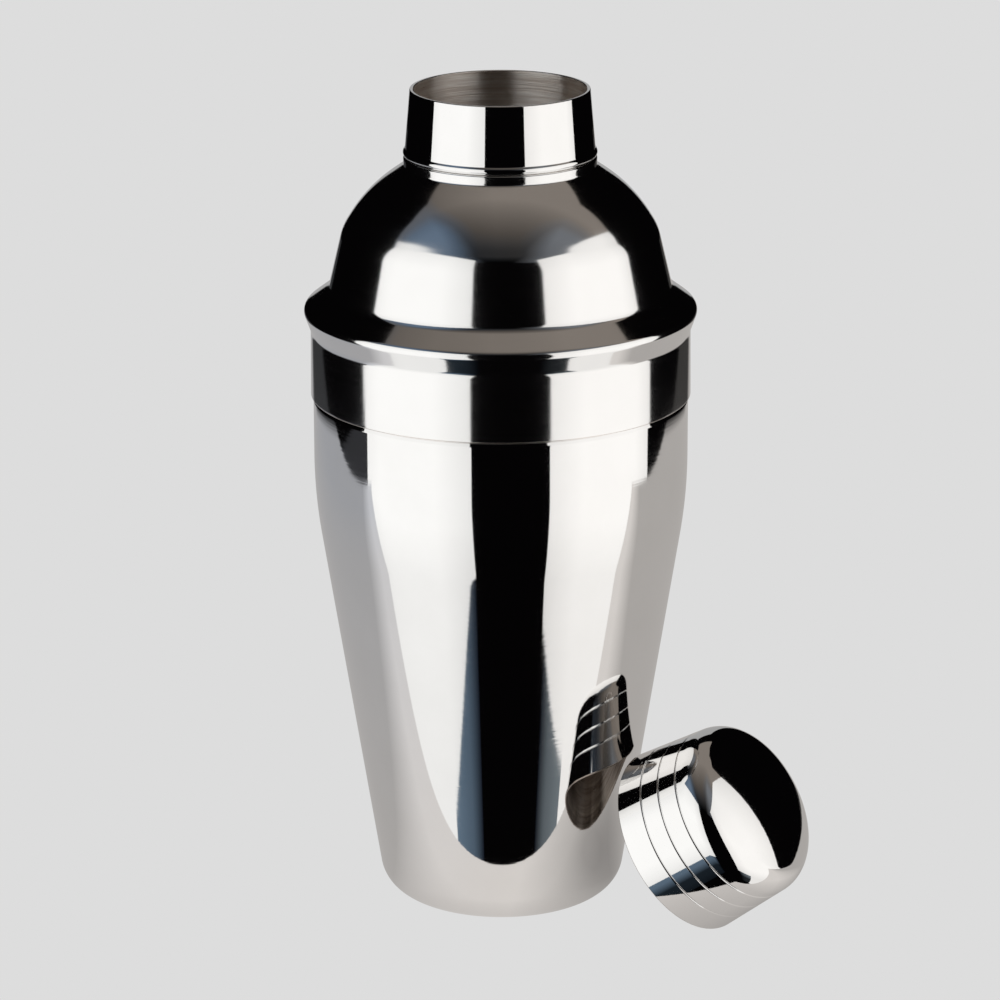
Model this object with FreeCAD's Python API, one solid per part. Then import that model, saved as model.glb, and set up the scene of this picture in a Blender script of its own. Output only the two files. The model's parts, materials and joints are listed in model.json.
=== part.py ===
import FreeCAD, Part
import math
import os

os.makedirs("parts", exist_ok=True)

# Three-piece cocktail shaker with its cap lying beside it. Millimetres, +Z up.
# The origin is the centre of the cup's foot, on the surface that it stands on.
# Every sheet-metal piece is turned: half of its section is an outline of corners
# (radius, height, bend radius), and the wall is that outline moved inwards.

# Sheet thickness of each piece
cup_wall = 0.7
shoulder_wall = 0.6
collar_wall = 0.8
strainer_wall = 0.5
cap_wall = 0.6

# Cup: a conical beaker with a cylindrical top and a swaged rim
foot_recess = 0.8
foot_recess_radius = 16.2
foot_recess_bend = 1.5
foot_ring_radius = 18.5
foot_ring_bend = 0.8
cup_base_corner = 27.05
cup_base_bend = 8.0
cup_radius = 42.45
cup_bend_height = 95.95
cup_bend = 115.0
swage_height = 118.4
swage_length = 0.8
swage_bend = 0.4
rim_radius = 42.1
rim_height = 135.5

# Shoulder: a skirt over the cup's rim, a rounded flange and a dome
skirt_height = 119.45
skirt_radius = 43.0
skirt_waist_radius = 42.85
skirt_waist_height = 134.6
skirt_waist_bend = 4.0
flange_radius = 44.65
flange_height = 139.5
flange_bend = 1.7
cove_radius = 38.75
cove_height = 143.9
cove_bend = 3.0
dome_side_radius = 35.5
dome_side_height = 157.6
dome_side_bend = 12.0
dome_top_radius = 30.2
dome_top_height = 166.1
dome_top_bend = 33.0
collar_seat_radius = 21.7
collar_seat_foot = 172.0
collar_seat_foot_bend = 0.8
seat_height = 174.15
seat_bend = 0.5
pour_radius = 18.6

# Neck collar: a bead at its foot and a tapered neck
collar_foot_radius = 21.3
bead_radius = 22.05
bead_height = 175.1
bead_bend = 1.0
bead_top = 176.0
bead_top_bend = 0.3
bore_bend = 8.0
neck_top_radius = 20.16
neck_top_height = 189.4

# Strainer: a dished plate clamped under the collar
strainer_radius = 19.8
strainer_dish_radius = 15.8
strainer_dish_depth = 1.9
strainer_dish_bend = 1.2
strainer_slope_length = 1.6
strainer_edge_bend = 0.8
hole_diameter = 2.6
hole_ring_pitch = 4.4
hole_rings = 3
holes_per_ring = 6
hole_clearance = 1.0

# Cap: a tapered band with three engraved lines, and a low crown
cap_mouth_radius = 21.84
cap_taper = math.radians(4.74)
band_length = 18.15
crown_bend = 6.15
crown_radius = 56.45
line_heights = (6.6, 11.5, 16.4)
line_width = 0.45
line_depth = 0.16

# How the cap lies: its mouth's lowest point on the ground, its axis raised
cap_ground_x = 51.92
cap_ground_y = -25.98
cap_heading = -30.66
cap_raise = 33.86


def offset_corners(corners, wall):
    """Move an outline of corners to its left by the wall thickness."""
    moved = []
    last = len(corners) - 1
    for i, (r, z, bend) in enumerate(corners):
        before = corners[max(i - 1, 0)]
        after = corners[min(i + 1, last)]
        into = unit(r - before[0], z - before[1]) if i > 0 else None
        out = unit(after[0] - r, after[1] - z) if i < last else None
        into = into or out
        out = out or into
        half = wall / (1.0 + into[0] * out[0] + into[1] * out[1])
        shift_r = -(into[1] + out[1]) * half
        shift_z = (into[0] + out[0]) * half
        turn = into[0] * out[1] - into[1] * out[0]
        new_bend = max(bend - math.copysign(wall, turn), 0.05) if bend else 0
        moved.append((r + shift_r, z + shift_z, new_bend))
    return moved


def unit(r, z):
    length = math.hypot(r, z)
    return (r / length, z / length)


def bent_edges(corners):
    """Straight and arc edges through the corners, in the XZ plane."""
    edges = []
    here = point(corners[0])
    for before, corner, after in zip(corners, corners[1:], corners[2:]):
        if corner[2] <= 0:
            edges.append(Part.makeLine(here, point(corner)))
            here = point(corner)
            continue
        into = unit(corner[0] - before[0], corner[1] - before[1])
        out = unit(after[0] - corner[0], after[1] - corner[1])
        turn = math.acos(into[0] * out[0] + into[1] * out[1])
        reach = corner[2] * math.tan(turn / 2)
        sag = corner[2] * (1 / math.cos(turn / 2) - 1)
        inward = unit(out[0] - into[0], out[1] - into[1])
        start = point((corner[0] - into[0] * reach, corner[1] - into[1] * reach))
        end = point((corner[0] + out[0] * reach, corner[1] + out[1] * reach))
        middle = point((corner[0] + inward[0] * sag, corner[1] + inward[1] * sag))
        if here.distanceToPoint(start) > 1e-6:
            edges.append(Part.makeLine(here, start))
        edges.append(Part.Arc(start, middle, end).toShape())
        here = end
    edges.append(Part.makeLine(here, point(corners[-1])))
    return edges


def point(corner):
    return FreeCAD.Vector(corner[0], 0, corner[1])


def turned_sheet(outer, inner):
    """A sheet-metal piece of revolution between two outlines, closed at both ends."""
    edges = bent_edges(outer) + bent_edges(inner)
    edges.append(Part.makeLine(point(outer[-1]), point(inner[-1])))
    edges.append(Part.makeLine(point(inner[0]), point(outer[0])))
    face = Part.Face(Part.Wire(Part.__sortEdges__(edges)))
    return face.revolve(FreeCAD.Vector(), FreeCAD.Vector(0, 0, 1), 360)


def make_cup():
    corners = [
        (0, foot_recess, 0),
        (foot_recess_radius, foot_recess, foot_recess_bend),
        (foot_ring_radius, 0, foot_ring_bend),
        (cup_base_corner, 0, cup_base_bend),
        (cup_radius, cup_bend_height, cup_bend),
        (cup_radius, swage_height, swage_bend),
        (rim_radius, swage_height + swage_length, swage_bend),
        (rim_radius, rim_height, 0),
    ]
    return turned_sheet(corners, offset_corners(corners, cup_wall))


def make_shoulder():
    corners = [
        (skirt_radius, skirt_height, 0),
        (skirt_waist_radius, skirt_waist_height, skirt_waist_bend),
        (flange_radius, flange_height, flange_bend),
        (cove_radius, cove_height, cove_bend),
        (dome_side_radius, dome_side_height, dome_side_bend),
        (dome_top_radius, dome_top_height, dome_top_bend),
        (collar_seat_radius, collar_seat_foot, collar_seat_foot_bend),
        (collar_seat_radius, seat_height, seat_bend),
        (pour_radius, seat_height, 0),
    ]
    return turned_sheet(corners, offset_corners(corners, shoulder_wall))


def make_neck_collar():
    outer = [
        (collar_foot_radius, seat_height, 0),
        (bead_radius, bead_height, bead_bend),
        (collar_foot_radius, bead_top, bead_top_bend),
        (neck_top_radius, neck_top_height, 0),
    ]
    bore = [
        (collar_foot_radius - collar_wall, seat_height, 0),
        (collar_foot_radius - collar_wall, bead_top, bore_bend),
        (neck_top_radius - collar_wall, neck_top_height, 0),
    ]
    return turned_sheet(outer, bore)


def make_strainer_plate():
    dish_height = seat_height - strainer_dish_depth
    corners = [
        (0, dish_height, 0),
        (strainer_dish_radius, dish_height, strainer_dish_bend),
        (strainer_dish_radius + strainer_slope_length, seat_height, strainer_edge_bend),
        (strainer_radius, seat_height, 0),
    ]
    plate = turned_sheet(corners, offset_corners(corners, strainer_wall))
    holes = [hole_at(0, 0, dish_height)]
    for ring in range(1, hole_rings + 1):
        count = holes_per_ring * ring
        for i in range(count):
            angle = 2 * math.pi * i / count
            radius = hole_ring_pitch * ring
            holes.append(hole_at(radius * math.cos(angle), radius * math.sin(angle), dish_height))
    return plate.cut(Part.Compound(holes))


def hole_at(x, y, height):
    start = FreeCAD.Vector(x, y, height - hole_clearance)
    return Part.makeCylinder(hole_diameter / 2, strainer_wall + 2 * hole_clearance, start)


def make_cap():
    """The cap on the Z axis with its mouth at height 0, then laid in its place."""
    outer = cap_edges(0)
    inner = cap_edges(cap_wall)
    mouth = Part.makeLine(outer[0].Vertexes[0].Point, inner[0].Vertexes[0].Point)
    top = Part.makeLine(outer[-1].Vertexes[-1].Point, inner[-1].Vertexes[-1].Point)
    face = Part.Face(Part.Wire(Part.__sortEdges__(outer + inner + [mouth, top])))
    cap = face.revolve(FreeCAD.Vector(), FreeCAD.Vector(0, 0, 1), 360)
    for height in line_heights:
        radius = cap_mouth_radius - math.tan(cap_taper) * height
        ring = Part.makeTorus(radius + line_width / 2 - line_depth, line_width / 2)
        ring.translate(FreeCAD.Vector(0, 0, height))
        cap = cap.cut(ring)
    cap.Placement = cap_placement()
    return cap


def cap_edges(inset):
    """The cap's outline moved inwards by the inset: straight band, bend and crown."""
    band_end_radius = cap_mouth_radius - math.tan(cap_taper) * band_length
    bend_radius = band_end_radius - crown_bend * math.cos(cap_taper)
    bend_height = band_length - crown_bend * math.sin(cap_taper)
    reach = crown_radius - crown_bend
    lean = math.asin(bend_radius / reach)
    crown_centre = bend_height - reach * math.cos(lean)
    bend_at = arc_point(bend_radius, bend_height, crown_bend - inset)
    crown_at = arc_point(0, crown_centre, crown_radius - inset)
    steepest = math.pi / 2 - cap_taper
    mouth = FreeCAD.Vector(cap_mouth_radius - inset / math.cos(cap_taper), 0, 0)
    band = Part.makeLine(mouth, bend_at(steepest))
    bend = Part.Arc(bend_at(steepest), bend_at((steepest + lean) / 2), bend_at(lean))
    crown = Part.Arc(crown_at(lean), crown_at(lean / 2), crown_at(0))
    return [band, bend.toShape(), crown.toShape()]


def arc_point(centre_radius, centre_height, radius):
    """Points of a circle, by their angle from straight up."""
    def at(angle):
        r = centre_radius + radius * math.sin(angle)
        return FreeCAD.Vector(r, 0, centre_height + radius * math.cos(angle))
    return at


def cap_placement():
    raised = math.radians(cap_raise)
    turn = FreeCAD.Rotation(FreeCAD.Vector(0, 0, 1), cap_heading)
    tip = FreeCAD.Rotation(FreeCAD.Vector(0, 1, 0), 90 - cap_raise)
    spin = turn.multiply(tip)
    to_centre = spin.multVec(FreeCAD.Vector(-1, 0, 0)) * cap_mouth_radius
    height = cap_mouth_radius * math.cos(raised)
    centre = FreeCAD.Vector(cap_ground_x + to_centre.x, cap_ground_y + to_centre.y, height)
    return FreeCAD.Placement(centre, spin)


pieces = {
    "cup": make_cup(),
    "shoulder": make_shoulder(),
    "neck_collar": make_neck_collar(),
    "strainer_plate": make_strainer_plate(),
    "cap": make_cap(),
}
for name, shape in pieces.items():
    solid = shape.Solids[0] if shape.Solids else Part.makeSolid(shape)
    solid.exportStep("parts/" + name + ".step")
    print(name, "valid", solid.isValid(), "volume", round(solid.Volume, 1), solid.BoundBox)
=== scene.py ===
import json
import math

import bpy
from mathutils import Matrix, Vector
from mathutils.geometry import delaunay_2d_cdt

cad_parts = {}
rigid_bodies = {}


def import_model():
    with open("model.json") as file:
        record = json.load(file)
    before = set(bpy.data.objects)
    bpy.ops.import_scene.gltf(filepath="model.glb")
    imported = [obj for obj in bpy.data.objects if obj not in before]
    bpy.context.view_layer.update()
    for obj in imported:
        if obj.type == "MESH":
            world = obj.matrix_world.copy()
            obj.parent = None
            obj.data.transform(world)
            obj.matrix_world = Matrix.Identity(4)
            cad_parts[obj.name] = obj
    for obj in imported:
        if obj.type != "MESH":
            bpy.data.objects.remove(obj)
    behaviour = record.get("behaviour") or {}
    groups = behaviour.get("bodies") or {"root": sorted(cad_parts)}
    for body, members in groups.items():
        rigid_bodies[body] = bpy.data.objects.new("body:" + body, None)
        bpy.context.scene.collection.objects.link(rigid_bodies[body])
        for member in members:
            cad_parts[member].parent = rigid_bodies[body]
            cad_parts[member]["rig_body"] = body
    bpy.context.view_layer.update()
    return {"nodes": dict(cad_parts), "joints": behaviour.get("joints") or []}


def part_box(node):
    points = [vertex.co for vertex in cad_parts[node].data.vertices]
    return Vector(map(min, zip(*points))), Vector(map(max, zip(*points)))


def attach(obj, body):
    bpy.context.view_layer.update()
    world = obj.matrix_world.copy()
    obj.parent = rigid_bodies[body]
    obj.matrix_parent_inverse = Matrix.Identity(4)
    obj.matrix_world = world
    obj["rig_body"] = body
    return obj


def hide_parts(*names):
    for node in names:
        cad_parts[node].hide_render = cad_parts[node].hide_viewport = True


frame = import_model()
MM = 0.001

# The frame's own sizes, in millimetres
cup_low, cup_high = (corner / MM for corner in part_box("cup"))
shoulder_low, shoulder_high = (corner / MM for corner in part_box("shoulder"))
collar_low, collar_high = (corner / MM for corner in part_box("neck_collar"))
strainer_low, strainer_high = (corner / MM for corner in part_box("strainer_plate"))
cap_low, cap_high = (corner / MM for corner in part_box("cap"))
joints = {joint["name"]: joint for joint in frame["joints"]}

# Detail of the turned pieces, in millimetres
SEGMENTS = 288
PATH_STEP = 0.7
BEND_STEP = 0.16
FEWEST_BEND_POINTS = 4
SPARE_BEND_POINTS = 8
DEGREES_PER_POINT = 2
LEAST_BEND = 0.05
RIM_ROUND = 0.22
ROLL_STEPS = 10
ON_AXIS = 1e-6
MARKS_PER_METRE = 10

# Cup
CUP_WALL = 0.7
FOOT_RECESS = 0.8
FOOT_RECESS_RADIUS = 16.2
FOOT_RECESS_BEND = 1.5
FOOT_RING_RADIUS = 18.5
FOOT_RING_BEND = 0.8
CUP_BASE_CORNER = 27.05
CUP_BASE_BEND = 8.0
CUP_RADIUS = 42.45
CUP_BEND_HEIGHT = 95.95
CUP_BEND = 115.0
SWAGE_BELOW_SKIRT = 1.05
SWAGE_LENGTH = 0.8
SWAGE_BEND = 0.4
CUP_RIM_RADIUS = 42.1

# Shoulder: a rise is above the skirt's edge, a drop is below the collar's seat
SHOULDER_WALL = 0.6
SKIRT_RADIUS = 43.0
SKIRT_WAIST_INSET = 0.15
SKIRT_WAIST_RISE = 15.15
SKIRT_WAIST_BEND = 4.0
FLANGE_RADIUS = 44.65
FLANGE_RISE = 20.05
FLANGE_BEND = 1.7
COVE_RADIUS = 38.75
COVE_RISE = 24.45
COVE_BEND = 3.0
DOME_SIDE_RADIUS = 35.5
DOME_SIDE_DROP = 16.55
DOME_SIDE_BEND = 12.0
DOME_TOP_RADIUS = 30.2
DOME_TOP_DROP = 8.05
DOME_TOP_BEND = 33.0
COLLAR_SEAT_RADIUS = 21.7
COLLAR_SEAT_DROP = 2.15
COLLAR_SEAT_BEND = 0.8
SEAT_BEND = 0.5
POUR_RADIUS = 18.6

# Neck collar: a rise is above its foot
COLLAR_WALL = 0.8
COLLAR_FOOT_RADIUS = 21.3
BEAD_RADIUS = 22.05
BEAD_RISE = 0.95
BEAD_BEND = 1.0
BEAD_TOP_RISE = 1.85
BEAD_TOP_BEND = 0.3
BORE_BEND = 8.0
NECK_TOP_RADIUS = 20.16

# Cap. A line's reach is in line widths and its ease in half widths, from its middle
CAP_WALL = 0.6
CAP_MOUTH_RADIUS = 21.84
CAP_TAPER = math.radians(4.74)
CAP_BAND_LENGTH = 18.15
CROWN_BEND = 6.15
CROWN_RADIUS = 56.45
BAND_STEPS = 88
CORNER_STEPS = 32
CROWN_STEPS = 30
CAP_LINES = (6.6, 11.5, 16.4)
LINE_WIDTH = 0.45
LINE_DEPTH = 0.16
LINE_POINTS = 8
LINE_REACH = 0.9
LINE_EASE = 1.3

# Strainer plate
STRAINER_WALL = 0.5
HOLE_DIAMETER = 2.6
HOLE_PITCH = 4.4
HOLE_RINGS = 3
HOLES_PER_RING = 6
HOLE_POINTS = 40
HOLE_EDGE = 0.995
PLATE_SEGMENTS = SEGMENTS // 2
SLOPE_START = 15.3
SLOPE_END = 17.9
SLOPE_STEPS = 12
SHARP_ANGLE = math.radians(40)

# Steel
STEEL_DIM = (0.845, 0.838, 0.828, 1)
STEEL_BRIGHT = (0.875, 0.868, 0.86, 1)

# Studio, in metres
BACKGROUND = (0.723, 0.723, 0.723, 1)
DARK_ROOM = (0.0012, 0.001, 0.0012, 1)
FLOOR_SIZE = 6.0
FLOOR_HEIGHT = -0.0006
TABLE_HEIGHT = -0.0004
TABLE_LEFT = -0.386
TABLE_RIGHT = 0.385
TABLE_FRONT_LEFT = -0.0525
TABLE_FRONT_RIGHT = -0.046
TABLE_REAR = 0.9
# Where the painted shadow of the cap on the table card lies
CAP_SHADE_IN = 0.02
CAP_SHADE_Y = -0.018
CARD_TOP = 1.05
CARD_FOOT = -1.9
CEILING_HEIGHT = 1.25
CEILING_FRONT = -1.5
CEILING_REAR = (
    (-1.9, 0.13),
    (-1.08, 0.2),
    (-0.73, 0.33),
    (-0.61, 0.52),
    (-0.6, 0.9),
    (0.67, 0.9),
    (0.68, 0.63),
    (0.83, 0.41),
    (2.0, 0.42),
)

# Upright cards: each face runs from its inner foot to its outer foot and back over the top.
# A softbox has an upper face over the cloth and an outer face down to the ground.
SOFTBOX_LEFT = (
    ((-0.313, -1.043, -0.635), (-0.673, -0.734, -0.725),
     (-0.70, -0.696, CARD_TOP), (-0.384, -1.043, CARD_TOP)),
    ((-0.653, -0.751, CARD_FOOT), (-1.41, -0.10, CARD_FOOT),
     (-1.41, 0.07, CARD_TOP), (-0.67, -0.722, CARD_TOP)),
)
SOFTBOX_RIGHT = (
    ((0.566, -1.009, -0.74), (0.83, -0.639, -0.714),
     (0.84, -0.556, CARD_TOP), (0.566, -1.009, CARD_TOP)),
    ((0.81, -0.667, CARD_FOOT), (1.372, 0.13, CARD_FOOT),
     (1.372, 0.346, CARD_TOP), (0.81, -0.603, CARD_TOP)),
)
CLOTH_LEFT = (
    ((-0.33, -1.07, CARD_FOOT), (-0.74, -0.75, CARD_FOOT), (-0.74, -0.75, -0.7), (-0.33, -1.07, -0.6)),
)
CLOTH_RIGHT = (
    ((0.615, -1.02, CARD_FOOT), (0.9, -0.66, CARD_FOOT), (0.9, -0.66, -0.7), (0.615, -1.02, -0.7)),
)
BACKDROP = (
    ((-0.22, 0.9, -0.2), (0.22, 0.9, -0.2), (0.22, 0.9, 0.7), (-0.22, 0.9, 0.7)),
)
ROOM_LEFT = (
    ((-1.46, -0.13, -0.9), (-0.7, 0.66, -0.9), (-0.7, 0.66, -0.15), (-1.46, -0.13, -0.24)),
)

# Camera
CAMERA_DISTANCE = 1.0
CAMERA_HEIGHT = 0.3976
CAMERA_PITCH = math.radians(16.91)
CAMERA_ROLL = math.radians(-0.146)
CAMERA_SIDE = -0.00024
CAMERA_LENS = 164.7
SENSOR_WIDTH = 36.0
CLIP_NEAR = 0.05
CLIP_FAR = 30.0


# --- Outlines of turned sheet metal -------------------------------------------------


def unit(r, z):
    length = math.hypot(r, z)
    return (r / length, z / length)


def offset_corners(corners, wall):
    """Move an outline of corners (radius, height, bend) to its left by the wall."""
    moved = []
    last = len(corners) - 1
    for i, (r, z, bend) in enumerate(corners):
        before = corners[max(i - 1, 0)]
        after = corners[min(i + 1, last)]
        into = unit(r - before[0], z - before[1]) if i > 0 else None
        out = unit(after[0] - r, after[1] - z) if i < last else None
        into = into or out
        out = out or into
        half = wall / (1.0 + into[0] * out[0] + into[1] * out[1])
        turn = into[0] * out[1] - into[1] * out[0]
        new_bend = max(bend - math.copysign(wall, turn), LEAST_BEND) if bend else 0
        moved.append((r - (into[1] + out[1]) * half, z + (into[0] + out[0]) * half, new_bend))
    return moved


def run(start, end):
    """Points along a straight run, without its last point."""
    count = max(1, round(math.dist(start, end) / PATH_STEP))
    return [mix(start, end, i / count) for i in range(count)]


def mix(start, end, share):
    return tuple(a + (b - a) * share for a, b in zip(start, end))


def bent_path(corners):
    """Points along an outline whose corners are rounded by their bend radius."""
    path = []
    here = corners[0][:2]
    for before, corner, after in zip(corners, corners[1:], corners[2:]):
        into = unit(corner[0] - before[0], corner[1] - before[1])
        out = unit(after[0] - corner[0], after[1] - corner[1])
        turn = math.acos(max(-1.0, min(1.0, into[0] * out[0] + into[1] * out[1])))
        side = math.copysign(1.0, into[0] * out[1] - into[1] * out[0])
        bend = corner[2]
        reach = bend * math.tan(turn / 2)
        start = (corner[0] - into[0] * reach, corner[1] - into[1] * reach)
        centre = (start[0] - into[1] * bend * side, start[1] + into[0] * bend * side)
        path += run(here, start)
        heading = math.atan2(start[1] - centre[1], start[0] - centre[0])
        most = max(SPARE_BEND_POINTS, round(math.degrees(turn) / DEGREES_PER_POINT)) + SPARE_BEND_POINTS
        count = max(FEWEST_BEND_POINTS, math.ceil(bend * turn / BEND_STEP))
        count = min(count, most)
        for i in range(count):
            angle = heading + side * turn * i / count
            path.append((centre[0] + bend * math.cos(angle), centre[1] + bend * math.sin(angle)))
        here = (corner[0] + out[0] * reach, corner[1] + out[1] * reach)
    path += run(here, corners[-1][:2])
    path.append(tuple(corners[-1][:2]))
    return path


def rounded_end(start, end, depth):
    """A rolled edge from one side of the sheet to the other, bulging by depth."""
    along = unit(end[0] - start[0], end[1] - start[1])
    middle = mix(start, end, 0.5)
    half = math.dist(start, end) / 2
    points = []
    for i in range(1, ROLL_STEPS):
        angle = math.pi * i / ROLL_STEPS
        share = -math.cos(angle) * half
        lift = math.sin(angle) * depth
        points.append((
            middle[0] + along[0] * share + along[1] * lift,
            middle[1] + along[1] * share - along[0] * lift,
        ))
    return points


def shortened(path, length):
    """The path with this much taken off its last end."""
    while math.dist(path[-2], path[-1]) <= length:
        length -= math.dist(path[-2], path[-1])
        path = path[:-1]
    share = length / math.dist(path[-2], path[-1])
    return path[:-1] + [mix(path[-1], path[-2], share)]


# --- Meshes -------------------------------------------------------------------------


def new_object(name, data):
    thing = bpy.data.objects.new(name, data)
    bpy.context.scene.collection.objects.link(thing)
    return thing


def outline_tangents(path, closed):
    last = len(path) - 1
    tangents = []
    for i in range(len(path)):
        before = path[i - 1] if closed or i > 0 else path[i]
        after = path[(i + 1) % len(path)] if closed or i < last else path[i]
        tangents.append(unit(after[0] - before[0], after[1] - before[1]))
    return tangents


def outline_lengths(path):
    lengths = [0.0]
    for here, after in zip(path, path[1:]):
        lengths.append(lengths[-1] + math.dist(here, after))
    return lengths


def turned_mesh(name, path, inside, closed, materials, place=Matrix.Identity(4)):
    """Turn an outline about the Z axis, then lay it in its place.

    Points from index inside on are inner wall. The outline runs with the metal on its
    left. A closed one comes back to its start.
    """
    vertices = []
    normals = []
    starts = []
    for (r, z), (tr, tz) in zip(path, outline_tangents(path, closed)):
        starts.append(len(vertices))
        if r < ON_AXIS:
            vertices.append((0, 0, z * MM))
            normals.append((0, 0, math.copysign(1.0, -tr)))
            continue
        for j in range(SEGMENTS):
            angle = 2 * math.pi * j / SEGMENTS
            x, y = math.cos(angle), math.sin(angle)
            vertices.append((r * x * MM, r * y * MM, z * MM))
            normals.append((tz * x, tz * y, -tr))
    rings = len(path)
    lengths = outline_lengths(path)
    faces = []
    inner = []
    marks = []
    spans = rings if closed else rings - 1
    for i in range(spans):
        k = (i + 1) % rings
        low = lengths[i]
        high = lengths[k] if k else lengths[i] + math.dist(path[i], path[0])
        for j in range(SEGMENTS):
            n = (j + 1) % SEGMENTS
            left, right = j / SEGMENTS, (j + 1) / SEGMENTS
            if path[i][0] < ON_AXIS:
                face = (starts[i], starts[k] + n, starts[k] + j)
                corner_marks = ((left, low), (right, high), (left, high))
            elif path[k][0] < ON_AXIS:
                face = (starts[i] + j, starts[i] + n, starts[k])
                corner_marks = ((left, low), (right, low), (left, high))
            else:
                face = (starts[i] + j, starts[i] + n, starts[k] + n, starts[k] + j)
                corner_marks = ((left, low), (right, low), (right, high), (left, high))
            faces.append(face)
            marks.append(corner_marks)
            inner.append(1 if i >= inside else 0)
    spin = place.to_3x3()
    mesh = bpy.data.meshes.new(name)
    mesh.from_pydata([place @ Vector(vertex) for vertex in vertices], [], faces)
    for material in materials:
        mesh.materials.append(material)
    mesh.polygons.foreach_set("material_index", inner)
    mesh.polygons.foreach_set("use_smooth", [True] * len(faces))
    layer = mesh.uv_layers.new(name="turned")
    flat = [value for face in marks for u, v in face for value in (u, v * MM * MARKS_PER_METRE)]
    layer.uv.foreach_set("vector", flat)
    mesh.update()
    mesh.normals_split_custom_set_from_vertices([spin @ Vector(normal) for normal in normals])
    return new_object(name, mesh)


def shell_path(corners, wall, round_start, round_end):
    """Outline of a sheet piece: outer side, end, inner side back, and its first index."""
    outer = bent_path(corners)
    inner = bent_path(offset_corners(corners, wall))
    if round_end:
        outer = shortened(outer, RIM_ROUND)
        inner = shortened(inner, RIM_ROUND)
    if round_start:
        outer = shortened(outer[::-1], RIM_ROUND)[::-1]
        inner = shortened(inner[::-1], RIM_ROUND)[::-1]
    path = list(outer)
    if round_end:
        path += rounded_end(outer[-1], inner[-1], RIM_ROUND)
    inside = len(path)
    path += inner[::-1]
    if round_start:
        path += rounded_end(inner[0], outer[0], RIM_ROUND)
    return path, inside - 1


def finish_piece(piece, node):
    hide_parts(node)
    body = frame["nodes"][node]["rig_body"]
    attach(piece, body)


# --- Materials ----------------------------------------------------------------------


class Nodes:
    """Short calls for building one material's node tree."""

    def __init__(self, name):
        self.material = bpy.data.materials.new(name)
        self.material.use_nodes = True
        self.tree = self.material.node_tree
        self.tree.nodes.clear()

    def add(self, kind, inputs=None, **settings):
        node = self.tree.nodes.new(kind)
        for key, value in settings.items():
            setattr(node, key, value)
        for key, value in (inputs or {}).items():
            if isinstance(value, bpy.types.NodeSocket):
                self.tree.links.new(value, node.inputs[key])
            else:
                node.inputs[key].default_value = value
        return node

    def math(self, operation, first, second=0.0, third=0.0):
        inputs = {0: first, 1: second, 2: third}
        return self.add("ShaderNodeMath", inputs, operation=operation).outputs[0]

    def noise(self, vector, scale, detail, roughness):
        inputs = {"Vector": vector, "Scale": scale, "Detail": detail, "Roughness": roughness}
        return self.add("ShaderNodeTexNoise", inputs).outputs["Fac"]

    def span(self, value, low, high, new_low, new_high):
        inputs = {"Value": value, 1: low, 2: high, 3: new_low, 4: new_high}
        return self.add("ShaderNodeMapRange", inputs, clamp=True).outputs[0]

    def blend(self, factor, first, second):
        inputs = {"Factor": factor, 6: first, 7: second}
        node = self.add("ShaderNodeMix", inputs, data_type="RGBA")
        return node.outputs[2]


def turning_marks(nodes, along, around):
    """A vector whose noise is drawn out round the piece, as a lathe or buff leaves it."""
    uv = nodes.add("ShaderNodeUVMap", uv_map="turned").outputs[0]
    split = nodes.add("ShaderNodeSeparateXYZ", {0: uv})
    angle = nodes.math("MULTIPLY", split.outputs[0], 2 * math.pi)
    inputs = {
        0: nodes.math("MULTIPLY", nodes.math("COSINE", angle), around),
        1: nodes.math("MULTIPLY", nodes.math("SINE", angle), around),
        2: nodes.math("MULTIPLY", split.outputs[1], along),
    }
    return nodes.add("ShaderNodeCombineXYZ", inputs).outputs[0]


def polished_steel(name, softness):
    """Mirror-polished stainless steel with faint buffing marks and handling haze."""
    nodes = Nodes(name)
    place = nodes.add("ShaderNodeTexCoord").outputs["Object"]
    haze = nodes.noise(place, scale=55.0, detail=4.0, roughness=0.6)
    buffed = turning_marks(nodes, along=160.0, around=2.0)
    marks = nodes.noise(buffed, scale=1.0, detail=2.0, roughness=0.6)
    colour = nodes.blend(nodes.span(haze, 0.3, 0.7, 0.0, 1.0), STEEL_DIM, STEEL_BRIGHT)
    roughness = nodes.math(
        "ADD",
        nodes.span(haze, 0.35, 0.75, softness, softness * 1.4),
        nodes.span(marks, 0.45, 0.8, 0.0, 0.02),
    )
    scratched = turning_marks(nodes, along=900.0, around=9.0)
    scratches = nodes.noise(scratched, scale=1.0, detail=1.0, roughness=0.5)
    scratches = nodes.math("POWER", scratches, 4.0)
    bump = nodes.add("ShaderNodeBump", {
        "Strength": 0.05,
        "Distance": 0.00003,
        "Height": nodes.math("MULTIPLY_ADD", scratches, 0.15, marks),
    })
    sheet = nodes.noise(place, scale=28.0, detail=1.0, roughness=0.4)
    wave = nodes.add("ShaderNodeBump", {
        "Strength": 0.05,
        "Distance": 0.0004,
        "Height": sheet,
        "Normal": bump.outputs[0],
    })
    shader = nodes.add("ShaderNodeBsdfPrincipled", {
        "Base Color": colour,
        "Metallic": 1.0,
        "Roughness": roughness,
        "Normal": wave.outputs[0],
    })
    nodes.add("ShaderNodeOutputMaterial", {"Surface": shader.outputs[0]})
    return nodes.material


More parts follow.
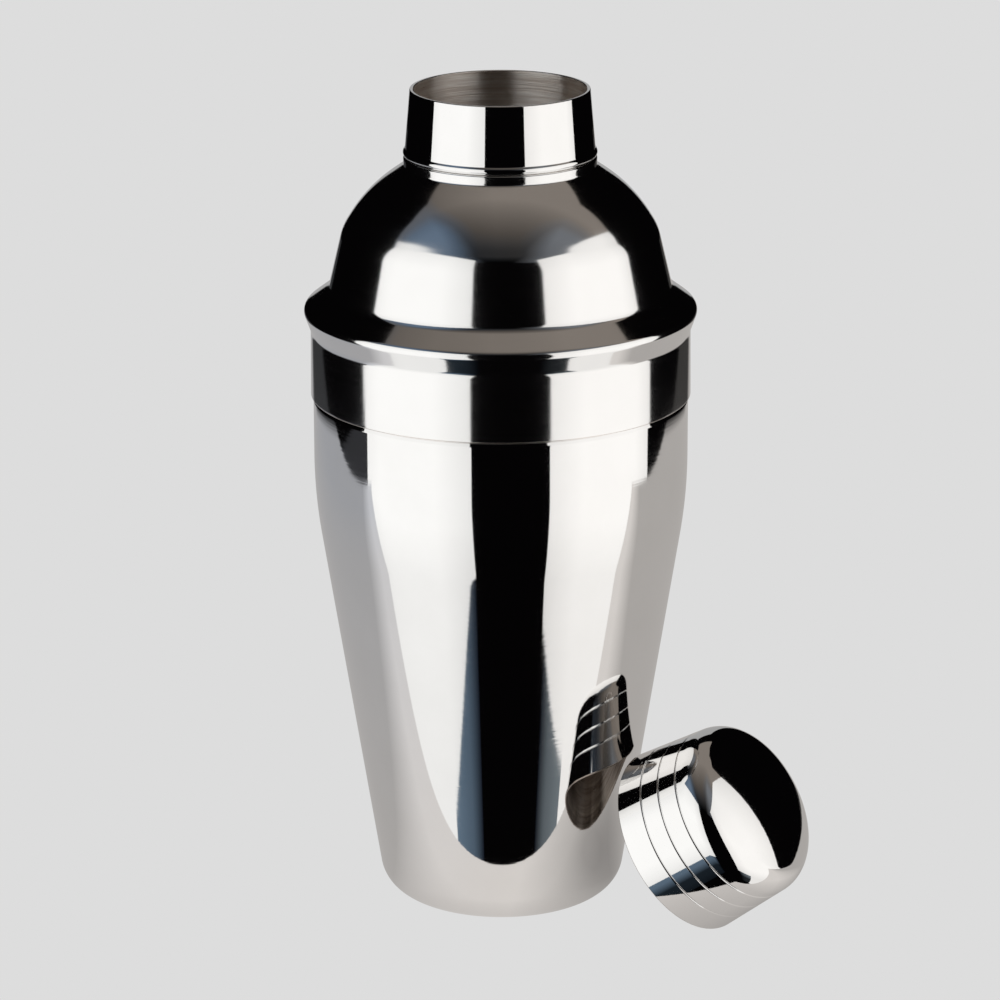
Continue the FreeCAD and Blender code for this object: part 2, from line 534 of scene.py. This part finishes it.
def satin_steel(name, dark, light, coarse, relief):
    """Unpolished sheet with fine lines round the piece: coarse sets how close they lie."""
    nodes = Nodes(name)
    place = nodes.add("ShaderNodeTexCoord").outputs["Object"]
    stain = nodes.noise(place, scale=70.0, detail=4.0, roughness=0.6)
    thin_lines = turning_marks(nodes, along=coarse * 4, around=1.5)
    fine = nodes.noise(thin_lines, scale=1.0, detail=2.0, roughness=0.6)
    wide_lines = turning_marks(nodes, along=coarse, around=0.8)
    broad = nodes.noise(wide_lines, scale=1.0, detail=3.0, roughness=0.7)
    tone = nodes.math("MULTIPLY_ADD", stain, 0.2, nodes.math("MULTIPLY", fine, 0.25))
    tone = nodes.math("MULTIPLY_ADD", broad, 0.55, tone)
    colour = nodes.blend(nodes.span(tone, 0.42, 0.62, 0.0, 1.0), (*dark, 1), (*light, 1))
    bump = nodes.add("ShaderNodeBump", {"Strength": 1.0, "Distance": relief, "Height": fine})
    tangent = nodes.add("ShaderNodeTangent", direction_type="UV_MAP", uv_map="turned")
    shader = nodes.add("ShaderNodeBsdfPrincipled", {
        "Base Color": colour,
        "Metallic": 1.0,
        "Roughness": nodes.span(broad, 0.3, 0.7, 0.27, 0.35),
        "Anisotropic": 1.0,
        "Anisotropic Rotation": 0.25,
        "Normal": bump.outputs[0],
        "Tangent": tangent.outputs[0],
    })
    nodes.add("ShaderNodeOutputMaterial", {"Surface": shader.outputs[0]})
    return nodes.material


# --- Pieces -------------------------------------------------------------------------


def make_cup(materials):
    swage = shoulder_low.z - SWAGE_BELOW_SKIRT
    corners = [
        (0, FOOT_RECESS, 0),
        (FOOT_RECESS_RADIUS, FOOT_RECESS, FOOT_RECESS_BEND),
        (FOOT_RING_RADIUS, cup_low.z, FOOT_RING_BEND),
        (CUP_BASE_CORNER, cup_low.z, CUP_BASE_BEND),
        (CUP_RADIUS, CUP_BEND_HEIGHT, CUP_BEND),
        (CUP_RADIUS, swage, SWAGE_BEND),
        (CUP_RIM_RADIUS, swage + SWAGE_LENGTH, SWAGE_BEND),
        (CUP_RIM_RADIUS, cup_high.z, 0),
    ]
    path, inside = shell_path(corners, CUP_WALL, False, True)
    piece = turned_mesh("shaker_cup", path, inside, False, materials)
    finish_piece(piece, "cup")


def make_shoulder(materials):
    edge = shoulder_low.z
    seat = shoulder_high.z
    corners = [
        (SKIRT_RADIUS, edge, 0),
        (SKIRT_RADIUS - SKIRT_WAIST_INSET, edge + SKIRT_WAIST_RISE, SKIRT_WAIST_BEND),
        (FLANGE_RADIUS, edge + FLANGE_RISE, FLANGE_BEND),
        (COVE_RADIUS, edge + COVE_RISE, COVE_BEND),
        (DOME_SIDE_RADIUS, seat - DOME_SIDE_DROP, DOME_SIDE_BEND),
        (DOME_TOP_RADIUS, seat - DOME_TOP_DROP, DOME_TOP_BEND),
        (COLLAR_SEAT_RADIUS, seat - COLLAR_SEAT_DROP, COLLAR_SEAT_BEND),
        (COLLAR_SEAT_RADIUS, seat, SEAT_BEND),
        (POUR_RADIUS, seat, 0),
    ]
    path, inside = shell_path(corners, SHOULDER_WALL, True, True)
    piece = turned_mesh("shaker_shoulder", path, inside, True, materials)
    finish_piece(piece, "shoulder")


def make_neck_collar(materials):
    foot = collar_low.z
    top = collar_high.z
    outer = bent_path([
        (COLLAR_FOOT_RADIUS, foot, 0),
        (BEAD_RADIUS, foot + BEAD_RISE, BEAD_BEND),
        (COLLAR_FOOT_RADIUS, foot + BEAD_TOP_RISE, BEAD_TOP_BEND),
        (NECK_TOP_RADIUS, top, 0),
    ])
    bore = bent_path([
        (COLLAR_FOOT_RADIUS - COLLAR_WALL, foot, 0),
        (COLLAR_FOOT_RADIUS - COLLAR_WALL, foot + BEAD_TOP_RISE, BORE_BEND),
        (NECK_TOP_RADIUS - COLLAR_WALL, top, 0),
    ])
    outer = shortened(outer, RIM_ROUND)
    bore = shortened(bore, RIM_ROUND)
    path = outer + rounded_end(outer[-1], bore[-1], RIM_ROUND)
    inside = len(path) - 1
    path += bore[::-1]
    piece = turned_mesh("shaker_neck_collar", path, inside, True, materials)
    finish_piece(piece, "neck_collar")


def make_cap(materials):
    outer = shortened(cap_side(0)[::-1], RIM_ROUND)[::-1]
    inner = shortened(cap_side(CAP_WALL)[::-1], RIM_ROUND)
    path = outer + inner + rounded_end(inner[-1], outer[0], RIM_ROUND)
    axis = Vector(joints["cap_pull"]["axis"]).normalized()
    mouth = Vector((
        cap_low.x + CAP_MOUTH_RADIUS * math.hypot(axis.y, axis.z),
        cap_high.y - CAP_MOUTH_RADIUS * math.hypot(axis.x, axis.z),
        cap_low.z + CAP_MOUTH_RADIUS * math.hypot(axis.x, axis.y),
    ))
    turn = axis.to_track_quat("Z", "Y").to_matrix().to_4x4()
    place = Matrix.Translation(mouth * MM) @ turn
    path.append(outer[0])
    piece = turned_mesh("shaker_cap", path, len(outer) - 1, False, materials, place)
    finish_piece(piece, "cap")


def cap_side(inset):
    """The cap's outline from its mouth to the top of its crown, moved in by inset."""
    steepest = math.pi / 2 - CAP_TAPER
    bend_radius = band_radius(CAP_BAND_LENGTH) - CROWN_BEND * math.cos(CAP_TAPER)
    bend_height = CAP_BAND_LENGTH - CROWN_BEND * math.sin(CAP_TAPER)
    reach = CROWN_RADIUS - CROWN_BEND
    lean = math.asin(bend_radius / reach)
    crown_centre = bend_height - reach * math.cos(lean)
    bend = CROWN_BEND - inset
    crown = CROWN_RADIUS - inset
    end = bend_height + bend * math.cos(steepest)
    path = []
    for i in range(BAND_STEPS):
        height = end * i / BAND_STEPS
        path.append((band_radius(height) - inset / math.cos(CAP_TAPER), height))
    if inset == 0:
        path = engraved(path)
    for i in range(CORNER_STEPS):
        angle = steepest + (lean - steepest) * i / CORNER_STEPS
        path.append((bend_radius + bend * math.sin(angle), bend_height + bend * math.cos(angle)))
    for i in range(CROWN_STEPS + 1):
        angle = lean * (1 - i / CROWN_STEPS)
        path.append((crown * math.sin(angle), crown_centre + crown * math.cos(angle)))
    path[-1] = (0.0, path[-1][1])
    return path


def band_radius(height):
    return CAP_MOUTH_RADIUS - math.tan(CAP_TAPER) * height


def engraved(path):
    """Sink the fine lines into a straight band, with points where each one needs them."""
    heights = [z for _, z in path]
    for line in CAP_LINES:
        heights = [z for z in heights if abs(z - line) > LINE_WIDTH]
        for i in range(2 * LINE_POINTS + 1):
            heights.append(line + LINE_WIDTH * (i / LINE_POINTS - 1) * LINE_REACH)
    sunk = []
    for z in sorted(heights):
        depth = 0.0
        for line in CAP_LINES:
            away = abs(z - line) / (LINE_WIDTH / 2)
            if away < LINE_EASE:
                depth = LINE_DEPTH * 0.5 * (1 + math.cos(math.pi * away / LINE_EASE))
        sunk.append((band_radius(z) - depth, z))
    return sunk


def make_strainer(material):
    """The dished plate as a sheet of triangles, with a ring of points round each hole."""
    middle = Vector((0.0, 0.0))
    holes = [middle]
    for ring in range(1, HOLE_RINGS + 1):
        holes += circle(middle, HOLE_PITCH * ring, HOLES_PER_RING * ring)
    rings = [circle(hole, HOLE_DIAMETER / 2, HOLE_POINTS) for hole in holes]
    rings.append(circle(middle, strainer_high.x, PLATE_SEGMENTS))
    points = []
    borders = []
    for ring in rings:
        first = len(points)
        points += ring
        borders += [(first + i, first + (i + 1) % len(ring)) for i in range(len(ring))]
    for step in range(1, SLOPE_STEPS):
        radius = SLOPE_START + (strainer_high.x - SLOPE_START) * step / SLOPE_STEPS
        points += circle(middle, radius, PLATE_SEGMENTS)
    flat, _, triangles, *_ = delaunay_2d_cdt(points, borders, [], 0, 1e-6)
    faces = []
    for face in triangles:
        centre = sum((flat[i] for i in face), middle) / 3
        if all((centre - hole).length > HOLE_DIAMETER / 2 * HOLE_EDGE for hole in holes):
            faces.append(face)
    vertices = []
    for thickness in (STRAINER_WALL, 0.0):
        for point in flat:
            height = dish_height(point.length) + thickness
            vertices.append((point.x * MM, point.y * MM, height * MM))
    under = len(flat)
    edges = [edge for face in faces for edge in zip(face, face[1:] + face[:1])]
    known = set(edges)
    solid = []
    for face in faces:
        solid.append(tuple(face))
        solid.append(tuple(under + index for index in reversed(face)))
    for here, after in edges:
        if (after, here) not in known:
            solid.append((after, here, under + here, under + after))
    mesh = bpy.data.meshes.new("shaker_strainer_plate")
    mesh.from_pydata(vertices, [], solid)
    layer = mesh.uv_layers.new(name="turned")
    for loop, mark in zip(mesh.loops, layer.uv):
        x, y, _ = mesh.vertices[loop.vertex_index].co
        mark.vector = (math.atan2(y, x) / (2 * math.pi) + 0.5, math.hypot(x, y) * MARKS_PER_METRE)
    mesh.materials.append(material)
    mesh.polygons.foreach_set("use_smooth", [True] * len(solid))
    mesh.set_sharp_from_angle(angle=SHARP_ANGLE)
    mesh.update()
    piece = new_object("shaker_strainer_plate", mesh)
    finish_piece(piece, "strainer_plate")


def circle(centre, radius, count):
    angles = [2 * math.pi * i / count for i in range(count)]
    return [centre + Vector((radius * math.cos(angle), radius * math.sin(angle))) for angle in angles]


def dish_height(radius):
    """Height of the plate's underside: a flat dish, a sloping ring and a flat rim."""
    floor = strainer_low.z
    rim = strainer_high.z - STRAINER_WALL
    share = (radius - SLOPE_START) / (SLOPE_END - SLOPE_START)
    share = max(0.0, min(1.0, share))
    return floor + (rim - floor) * share * share * (3 - 2 * share)


# --- Studio -------------------------------------------------------------------------


def emitter(name, faces, shade):
    """Light cards that only reflections see. A face is four corners; shade colours it."""
    corners = [corner for face in faces for corner in face]
    mesh = bpy.data.meshes.new(name)
    mesh.from_pydata(corners, [], [tuple(range(4 * i, 4 * i + 4)) for i in range(len(faces))])
    layer = mesh.uv_layers.new(name="card")
    layer.uv.foreach_set("vector", [0, 0, 1, 0, 1, 1, 0, 1] * len(faces))
    nodes = Nodes(name)
    colour, strength = shade(nodes)
    emission = nodes.add("ShaderNodeEmission", {"Color": colour, "Strength": strength})
    nodes.add("ShaderNodeOutputMaterial", {"Surface": emission.outputs[0]})
    mesh.materials.append(nodes.material)
    card = new_object(name, mesh)
    card.visible_camera = False
    card.visible_shadow = False


def across(nodes):
    """How far a point is from the first to the second corner of its card, 0 to 1."""
    uv = nodes.add("ShaderNodeUVMap", uv_map="card").outputs[0]
    return nodes.add("ShaderNodeSeparateXYZ", {0: uv}).outputs[0]


def place_xyz(nodes):
    place = nodes.add("ShaderNodeTexCoord").outputs["Object"]
    return nodes.add("ShaderNodeSeparateXYZ", {0: place}).outputs


def even(colour, strength):
    def shade(nodes):
        return (*colour, 1), strength
    return shade


def softbox(colour, inner, outer, edge, middle, end):
    """Brightness at the inner edge, over the middle and at the outer edge.

    Inner and outer are the x of those edges. It dims a little towards its foot and top.
    """
    width = outer - inner

    def shade(nodes):
        x, _, z = place_xyz(nodes)
        rise = nodes.span(x, inner, inner + width * 0.3, edge, middle)
        fall = nodes.span(x, inner + width * 0.75, outer, 1.0, end / middle)
        low = nodes.span(z, -0.75, -0.3, 0.84, 1.0)
        high = nodes.span(z, 0.3, CARD_TOP, 1.0, 0.86)
        ends = nodes.math("MULTIPLY", low, high)
        return (*colour, 1), nodes.math("MULTIPLY", nodes.math("MULTIPLY", rise, fall), ends)
    return shade


def cloth(inner, outer):
    """The dim blue cloth under a softbox: darker to the middle of the room and lower down."""
    def shade(nodes):
        share = across(nodes)
        first = nodes.span(share, 0.0, 0.35, 0.0, 0.6)
        second = nodes.span(share, 0.35, 1.0, 0.0, 0.4)
        colour = nodes.blend(nodes.math("ADD", first, second), (*inner, 1), (*outer, 1))
        return colour, nodes.span(place_xyz(nodes)[2], -1.15, -0.85, 0.12, 1.0)
    return shade


def make_lights():
    emitter("softbox_left", SOFTBOX_LEFT, softbox((1.0, 1.0, 0.99), -0.313, -1.41, 0.92, 1.12, 1.02))
    emitter("softbox_right", SOFTBOX_RIGHT, softbox((1.0, 0.985, 0.965), 0.566, 1.372, 0.96, 1.12, 0.96))
    emitter("cloth_left", CLOTH_LEFT, cloth((0.008, 0.01, 0.017), (0.13, 0.19, 0.26)))
    emitter("cloth_right", CLOTH_RIGHT, cloth((0.004, 0.005, 0.01), (0.17, 0.2, 0.22)))
    emitter("backdrop", BACKDROP, even((1.0, 1.0, 1.0), 0.4))
    emitter("room_left", ROOM_LEFT, even((0.95, 0.97, 1.08), 0.034))
    emitter("ceiling", ceiling_faces(), ceiling_shade)


def ceiling_faces():
    faces = []
    for (x, y), (next_x, next_y) in zip(CEILING_REAR, CEILING_REAR[1:]):
        outline = ((x, CEILING_FRONT), (next_x, CEILING_FRONT), (next_x, next_y), (x, y))
        faces.append([(*corner, CEILING_HEIGHT) for corner in outline])
    return faces


def ceiling_shade(nodes):
    """Warm overhead, fading to the front, and cooler over the two softboxes."""
    x, y, _ = place_xyz(nodes)
    front = nodes.math("POWER", nodes.span(y, -1.6, 0.1, 0.0, 1.0), 2.2)
    middle = nodes.math("MULTIPLY", front, nodes.span(x, -0.7, -0.05, 0.13, 0.235))
    rising = nodes.span(y, -1.4, -0.5, 0.5, 1.0)
    falling = nodes.span(y, -0.3, 0.3, 0.0, -0.5)
    sides = nodes.math("ADD", rising, falling)
    left = nodes.math("MULTIPLY", nodes.span(x, -0.8, -0.3, 0.185, 0.0), sides)
    right = nodes.math("MULTIPLY", nodes.span(x, 0.25, 0.75, 0.0, 0.18), sides)
    side = nodes.math("MAXIMUM", left, right)
    share = nodes.span(nodes.math("SUBTRACT", side, middle), -0.08, 0.06, 0.0, 1.0)
    from_left = nodes.span(x, -0.4, 0.5, 0.0, 1.0)
    cool = nodes.blend(from_left, (0.68, 0.95, 1.34, 1), (0.92, 0.98, 1.08, 1))
    colour = nodes.blend(share, (1.0, 0.88, 0.78, 1), cool)
    return colour, nodes.math("MAXIMUM", side, middle)


def make_table():
    """The pale table as the metal mirrors it: it ends just in front of the cup."""
    outline = (
        (TABLE_LEFT, TABLE_FRONT_LEFT),
        (TABLE_RIGHT, TABLE_FRONT_RIGHT),
        (TABLE_RIGHT, TABLE_REAR),
        (TABLE_LEFT, TABLE_REAR),
    )
    emitter("table_top", [[(*corner, TABLE_HEIGHT) for corner in outline]], table_shade)


def distance_from(nodes, x, y):
    place = nodes.add("ShaderNodeTexCoord").outputs["Object"]
    inputs = {0: place, 1: (x, y, 0.0)}
    return nodes.add("ShaderNodeVectorMath", inputs, operation="DISTANCE").outputs["Value"]


def table_shade(nodes):
    """Brightest at the front, dimmer under a painted shadow of the cap, and dark far out to each side.
    """
    x, y, _ = place_xyz(nodes)
    light = nodes.span(y, -0.035, -0.003, 0.74, 0.45)
    left = nodes.span(x, -0.3, -0.03, 0.86, 1.0)
    aside = nodes.span(nodes.math("ABSOLUTE", x), 0.17, 0.22, 0.0, 0.9)
    far = nodes.span(distance_from(nodes, 0.0, 0.0), 0.42, 0.435, 0.0, 1.0)
    lit = nodes.math("SUBTRACT", 1.0, nodes.math("MULTIPLY", aside, far))
    from_cap = distance_from(nodes, cap_low.x * MM + CAP_SHADE_IN, CAP_SHADE_Y)
    # Painted shadow of the cap on the table card, darkest near the cap's foot
    cap_shadow = nodes.span(from_cap, 0.008, 0.045, 0.55, 1.0)
    from_left = nodes.span(x, -0.3, 0.0, 0.0, 1.0)
    colour = nodes.blend(from_left, (0.95, 0.97, 1.03, 1), (1.0, 0.955, 0.92, 1))
    strength = nodes.math("MULTIPLY", light, left)
    return colour, nodes.math("MULTIPLY", strength, nodes.math("MULTIPLY", lit, cap_shadow))


def make_floor():
    """A pale floor of the background's grey, for the camera alone; clear from below."""
    outline = (
        (-FLOOR_SIZE, -FLOOR_SIZE),
        (FLOOR_SIZE, -FLOOR_SIZE),
        (FLOOR_SIZE, FLOOR_SIZE),
        (-FLOOR_SIZE, FLOOR_SIZE),
    )
    mesh = bpy.data.meshes.new("floor")
    mesh.from_pydata([(*corner, FLOOR_HEIGHT) for corner in outline], [], [(0, 1, 2, 3)])
    nodes = Nodes("floor")
    emission = nodes.add("ShaderNodeEmission", {"Color": BACKGROUND, "Strength": 1.0})
    clear = nodes.add("ShaderNodeBsdfTransparent")
    below = nodes.add("ShaderNodeNewGeometry").outputs["Backfacing"]
    inputs = {0: below, 1: emission.outputs[0], 2: clear.outputs[0]}
    surface = nodes.add("ShaderNodeMixShader", inputs)
    nodes.add("ShaderNodeOutputMaterial", {"Surface": surface.outputs[0]})
    mesh.materials.append(nodes.material)
    floor = new_object("floor", mesh)
    floor.visible_glossy = False
    floor.visible_diffuse = False
    floor.visible_shadow = False


def make_world():
    """Even pale grey behind the object; the metal mirrors a dark room."""
    world = bpy.data.worlds.new("studio")
    world.use_nodes = True
    tree = world.node_tree
    tree.nodes.clear()
    path = tree.nodes.new("ShaderNodeLightPath")
    dark = tree.nodes.new("ShaderNodeBackground")
    dark.inputs["Color"].default_value = DARK_ROOM
    pale = tree.nodes.new("ShaderNodeBackground")
    pale.inputs["Color"].default_value = BACKGROUND
    choose = tree.nodes.new("ShaderNodeMixShader")
    output = tree.nodes.new("ShaderNodeOutputWorld")
    tree.links.new(path.outputs["Is Camera Ray"], choose.inputs[0])
    tree.links.new(dark.outputs[0], choose.inputs[1])
    tree.links.new(pale.outputs[0], choose.inputs[2])
    tree.links.new(choose.outputs[0], output.inputs[0])
    bpy.context.scene.world = world


def make_camera():
    data = bpy.data.cameras.new("camera")
    data.lens = CAMERA_LENS
    data.sensor_width = SENSOR_WIDTH
    data.clip_start = CLIP_NEAR
    data.clip_end = CLIP_FAR
    camera = new_object("camera", data)
    look = Matrix.Rotation(math.pi / 2 - CAMERA_PITCH, 4, "X")
    roll = Matrix.Rotation(CAMERA_ROLL, 4, "Z")
    place = Matrix.Translation((CAMERA_SIDE, -CAMERA_DISTANCE, CAMERA_HEIGHT))
    camera.matrix_world = place @ look @ roll
    bpy.context.scene.camera = camera


def main():
    scene = bpy.context.scene
    scene.view_settings.view_transform = "Standard"
    polished = polished_steel("polished_steel", 0.03)
    soft_polished = polished_steel("polished_shoulder", 0.07)
    satin = satin_steel(
        "satin_inside", dark=(0.74, 0.66, 0.6), light=(1.0, 0.96, 0.91), coarse=90.0, relief=0.00008)
    # The cap's inside: the same satin steel, darker, as painted shade in the cap's hollow
    shaded_satin = satin_steel(
        "satin_cap_painted_shade", dark=(0.26, 0.22, 0.19), light=(0.6, 0.53, 0.47), coarse=90.0, relief=0.00003)
    plate = satin_steel(
        "satin_plate", dark=(0.4, 0.38, 0.36), light=(0.62, 0.6, 0.58), coarse=60.0, relief=0.000015)
    make_cup([polished, satin])
    make_shoulder([soft_polished, satin])
    make_neck_collar([polished, satin])
    make_cap([polished, shaded_satin])
    make_strainer(plate)
    make_lights()
    make_table()
    make_floor()
    make_world()
    make_camera()


main()
